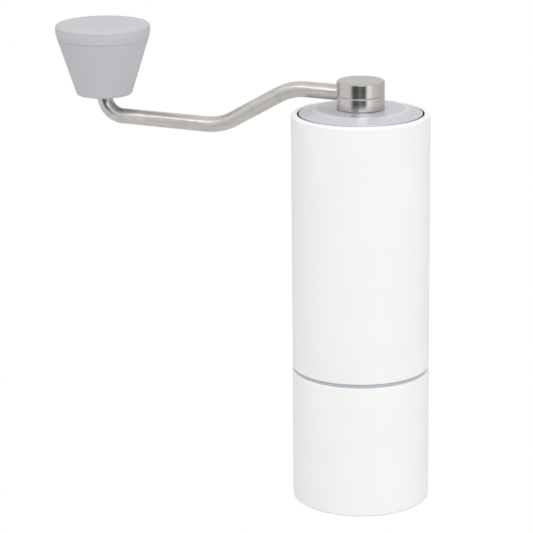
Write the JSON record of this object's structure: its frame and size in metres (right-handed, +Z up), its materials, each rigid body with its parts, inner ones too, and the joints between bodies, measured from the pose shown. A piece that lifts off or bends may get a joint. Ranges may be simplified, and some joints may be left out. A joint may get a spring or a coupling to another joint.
{
  "type": "hand crank coffee grinder",
  "caption": "Slim cylindrical hand coffee grinder: a bent crank with a conical knob turns a conical burr, and ground coffee falls into a screw-on jar.",
  "frame": {"origin": "on the grinder's axis, at the flat underside of the jar", "axes": "+Z up along the axis, the crank lies along -X at rest, +Y to complete a right-handed frame"},
  "size_m": [0.1551, 0.0522, 0.1766],
  "materials": {
    "white_coat": "smooth satin powder coat",
    "liner_plastic": "moulded, satin",
    "ring_plastic": "moulded, satin",
    "carrier_plastic": "glass-filled, fine texture",
    "burr_steel": "ground cutting faces",
    "screw_steel": "plain",
    "spring_steel": "oiled",
    "bearing_steel": "polished",
    "cage_plastic": "natural nylon",
    "shaft_steel": "turned",
    "dial_metal": "dark anodised",
    "lid_metal": "fine blasted, anodised silver",
    "seal_rubber": "soft, matte",
    "bush_plastic": "low-friction plastic",
    "brushed_hub": "turned, ring brushing",
    "brushed_rod": "lengthwise brushing",
    "knob_plastic": "satin light grey"
  },
  "bodies": {
    "housing": {"body_tube": "white_coat", "burr_carrier": "carrier_plastic", "ring_burr": "burr_steel", "burr_clamp_screws": "screw_steel", "carrier_snap_ring": "spring_steel", "bridge_snap_ring": "spring_steel", "bearing_bridge": "carrier_plastic", "lower_outer_race": "bearing_steel", "upper_outer_race": "bearing_steel"},
    "lid": {"lid": "lid_metal", "lid_seal": "seal_rubber", "lid_bush": "bush_plastic"},
    "crank": {"crank_hub": "brushed_hub", "crank_washer": "shaft_steel", "crank_circlip": "spring_steel", "crank_rod": "brushed_rod", "knob_washer": "shaft_steel", "knob_screw": "screw_steel"},
    "knob": {"knob_body": "knob_plastic", "knob_bushing": "bush_plastic", "knob_cap": "knob_plastic"},
    "spindle": {"drive_shaft": "shaft_steel", "spacer_sleeve": "shaft_steel", "shaft_circlip": "spring_steel", "lower_inner_race": "bearing_steel", "upper_inner_race": "bearing_steel"},
    "lower_cage": {"lower_bearing_cage": "cage_plastic", "lower_bearing_balls": "bearing_steel"},
    "upper_cage": {"upper_bearing_cage": "cage_plastic", "upper_bearing_balls": "bearing_steel"},
    "cone": {"cone_burr": "burr_steel", "click_plate": "shaft_steel", "burr_spring": "spring_steel"},
    "dial": {"grind_dial": "dial_metal", "detent_balls": "bearing_steel", "detent_springs": "spring_steel"},
    "ring": {"jar_ring": "ring_plastic"},
    "jar": {"jar_shell": "white_coat", "jar_liner": "liner_plastic"}
  },
  "joints": [
    {"name": "lid_lift", "type": "slide", "parent": "housing", "child": "lid", "axis": [0, 0, 1], "range_m": [0, 0.03]},
    {"name": "crank_turn", "type": "hinge", "parent": "lid", "child": "crank", "pos_m": [0, 0, 0.1574], "axis": [0, 0, 1], "continuous": true},
    {"name": "knob_spin", "type": "hinge", "parent": "crank", "child": "knob", "pos_m": [-0.1105, 0, 0.163], "axis": [0, 0, 1], "continuous": true},
    {"name": "spindle_turn", "type": "hinge", "parent": "housing", "child": "spindle", "pos_m": [0, 0, 0.11], "axis": [0, 0, 1], "continuous": true},
    {"name": "lower_cage_turn", "type": "hinge", "parent": "housing", "child": "lower_cage", "pos_m": [0, 0, 0.0885], "axis": [0, 0, 1], "continuous": true},
    {"name": "upper_cage_turn", "type": "hinge", "parent": "housing", "child": "upper_cage", "pos_m": [0, 0, 0.1374], "axis": [0, 0, 1], "continuous": true},
    {"name": "burr_adjust", "type": "slide", "parent": "spindle", "child": "cone", "axis": [0, 0, -1], "range_m": [0, 0.0015], "deforming": ["burr_spring"]},
    {"name": "dial_turn", "type": "hinge", "parent": "cone", "child": "dial", "pos_m": [0, 0, 0.0575], "axis": [0, 0, -1], "range_deg": [0, 720]},
    {"name": "ring_drop", "type": "slide", "parent": "housing", "child": "ring", "axis": [0, 0, -1], "range_m": [0, 0.0096]},
    {"name": "jar_unscrew", "type": "hinge", "parent": "ring", "child": "jar", "pos_m": [0, 0, 0.0255], "axis": [0, 0, -1], "range_deg": [0, 720]}
  ],
  "couplings": [
    {"joint": "spindle_turn", "follows": "crank_turn", "ratio": 1},
    {"joint": "lower_cage_turn", "follows": "crank_turn", "ratio": 0.4},
    {"joint": "upper_cage_turn", "follows": "crank_turn", "ratio": 0.4},
    {"joint": "burr_adjust", "follows": "dial_turn", "m_per_rad": 0.00011937},
    {"joint": "ring_drop", "follows": "jar_unscrew", "m_per_rad": 0.00076394}
  ]
}
